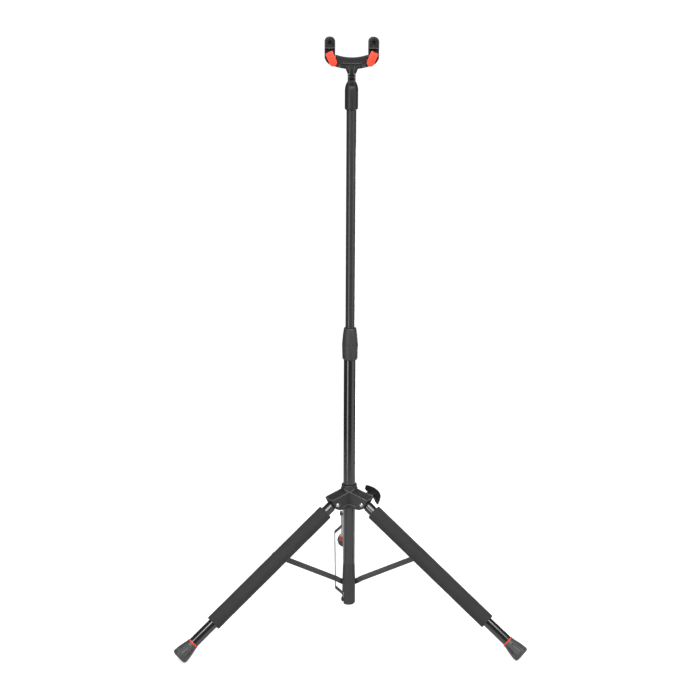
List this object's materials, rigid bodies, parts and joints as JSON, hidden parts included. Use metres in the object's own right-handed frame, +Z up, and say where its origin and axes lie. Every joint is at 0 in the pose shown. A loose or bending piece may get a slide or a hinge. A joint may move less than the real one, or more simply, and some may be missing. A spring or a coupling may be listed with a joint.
{
  "type": "hanging guitar stand",
  "caption": "Folding tripod stand with a telescoping mast and a tilting neck yoke whose gates close as the saddle is pressed.",
  "frame": {"origin": "on the floor under the middle of the open stand's box", "axes": "+Z up along the mast, -Y to the front where the two padded legs point, +X to the right seen from behind the stand's front"},
  "size_m": [0.7206, 0.6286, 1.2353],
  "materials": {
    "gloss_tube": "gloss black enamel",
    "satin_metal": "satin black powder coat",
    "moulded_black": "fine grain moulding",
    "foam": "closed-cell foam",
    "foot_rubber": "matte",
    "saddle_rubber": "smooth",
    "orange_plastic": "satin",
    "zinc": "zinc plated",
    "black_steel": "black oxide",
    "bearing_plastic": "natural"
  },
  "bodies": {
    "mast": {"main_tube": "gloss_tube", "base_boot": "moulded_black", "clutch_body": "moulded_black", "clutch_collet": "bearing_plastic", "boot_screws": "zinc"},
    "clutch_nut": {"clutch_nut": "moulded_black"},
    "glide": {"tube_glide": "bearing_plastic"},
    "upper_mast": {"upper_tube": "gloss_tube", "top_collar": "moulded_black", "yoke_pin": "black_steel"},
    "yoke": {"yoke_knuckle": "moulded_black", "yoke_frame": "moulded_black", "arm_cap_left": "moulded_black", "arm_cap_right": "moulded_black", "gate_pins": "black_steel", "saddle_springs": "zinc", "cap_screws": "zinc"},
    "saddle": {"saddle": "saddle_rubber"},
    "gate_left": {"gate_left": "orange_plastic"},
    "gate_right": {"gate_right": "orange_plastic"},
    "hub": {"hub_shell": "moulded_black", "hub_liner": "bearing_plastic", "clamp_pad": "bearing_plastic", "leg_bolts": "zinc", "leg_nuts": "zinc"},
    "wing_knob": {"wing_knob": "moulded_black", "knob_stud": "zinc"},
    "leg_left": {"leg_tube_left": "gloss_tube", "leg_plug_left": "moulded_black", "foot_ring_left": "orange_plastic", "foot_left": "foot_rubber", "leg_pin_left": "black_steel", "foam_sleeve_left": "foam"},
    "strut_left": {"strut_left": "satin_metal", "strut_rivet_left": "black_steel"},
    "leg_right": {"leg_tube_right": "gloss_tube", "leg_plug_right": "moulded_black", "foot_ring_right": "orange_plastic", "foot_right": "foot_rubber", "leg_pin_right": "black_steel", "foam_sleeve_right": "foam"},
    "strut_right": {"strut_right": "satin_metal", "strut_rivet_right": "black_steel"},
    "leg_rear": {"leg_tube_rear": "gloss_tube", "leg_plug_rear": "moulded_black", "foot_ring_rear": "orange_plastic", "foot_rear": "foot_rubber", "leg_pin_rear": "black_steel"},
    "strut_rear": {"strut_rear": "satin_metal", "strut_rivet_rear": "black_steel"}
  },
  "joints": [
    {"name": "clutch_twist", "type": "hinge", "parent": "mast", "child": "clutch_nut", "pos_m": [0, -0.09801, 0.63314], "axis": [0, 0, 1], "range_deg": [0, 90]},
    {"name": "height_slide", "type": "slide", "parent": "mast", "child": "glide", "axis": [0, 0, 1], "range_m": [-0.42, 0]},
    {"name": "tube_turn", "type": "hinge", "parent": "glide", "child": "upper_mast", "pos_m": [0, -0.09801, 0.59814], "axis": [0, 0, 1], "continuous": true},
    {"name": "yoke_tilt", "type": "hinge", "parent": "upper_mast", "child": "yoke", "pos_m": [0, -0.09801, 1.15614], "axis": [1, 0, 0], "range_deg": [-15, 75]},
    {"name": "saddle_press", "type": "slide", "parent": "yoke", "child": "saddle", "axis": [0, 0, -1], "range_m": [0, 0.005], "stiffness_N_per_m": 600, "springref_m": -0.002, "deforming": ["saddle_springs"]},
    {"name": "gate_left_turn", "type": "hinge", "parent": "yoke", "child": "gate_left", "pos_m": [-0.0365, -0.10601, 1.18614], "axis": [0, 1, 0], "range_deg": [0, 80]},
    {"name": "gate_right_turn", "type": "hinge", "parent": "yoke", "child": "gate_right", "pos_m": [0.0365, -0.10601, 1.18614], "axis": [0, 1, 0], "range_deg": [-80, 0]},
    {"name": "hub_slide", "type": "slide", "parent": "mast", "child": "hub", "axis": [0, 0, 1], "range_m": [0, 0.16179]},
    {"name": "knob_turn", "type": "hinge", "parent": "hub", "child": "wing_knob", "pos_m": [0.0433, -0.07301, 0.27364], "axis": [0.866, 0.5, 0], "continuous": true},
    {"name": "leg_left_fold", "type": "hinge", "parent": "hub", "child": "leg_left", "pos_m": [-0.03161, -0.11626, 0.27304], "axis": [0.5, -0.866, 0], "range_deg": [0, 54.56]},
    {"name": "leg_right_fold", "type": "hinge", "parent": "hub", "child": "leg_right", "pos_m": [0.03161, -0.11626, 0.27304], "axis": [0.5, 0.866, 0], "range_deg": [0, 54.56]},
    {"name": "leg_rear_fold", "type": "hinge", "parent": "hub", "child": "leg_rear", "pos_m": [0, -0.06151, 0.27304], "axis": [-1, 0, 0], "range_deg": [0, 54.56]},
    {"name": "strut_left_fold", "type": "hinge", "parent": "mast", "child": "strut_left", "pos_m": [-0.0026, -0.09951, 0.08014], "axis": [0.5, -0.866, 0], "range_deg": [-49.72, 0]},
    {"name": "strut_right_fold", "type": "hinge", "parent": "mast", "child": "strut_right", "pos_m": [0.0026, -0.09951, 0.08014], "axis": [0.5, 0.866, 0], "range_deg": [-49.72, 0]},
    {"name": "strut_rear_fold", "type": "hinge", "parent": "mast", "child": "strut_rear", "pos_m": [0, -0.09501, 0.04414], "axis": [-1, 0, 0], "range_deg": [-45.45, 0]}
  ],
  "couplings": [
    {"joint": "gate_left_turn", "follows": "saddle_press", "rad_per_m": 279},
    {"joint": "gate_right_turn", "follows": "saddle_press", "rad_per_m": -279},
    {"joint": "leg_left_fold", "follows": "hub_slide", "rad_per_m": 5.8848},
    {"joint": "leg_right_fold", "follows": "hub_slide", "rad_per_m": 5.8848},
    {"joint": "leg_rear_fold", "follows": "hub_slide", "rad_per_m": 5.8848},
    {"joint": "strut_left_fold", "follows": "hub_slide", "rad_per_m": -5.3617},
    {"joint": "strut_right_fold", "follows": "hub_slide", "rad_per_m": -5.3617},
    {"joint": "strut_rear_fold", "follows": "hub_slide", "rad_per_m": -4.9012}
  ]
}
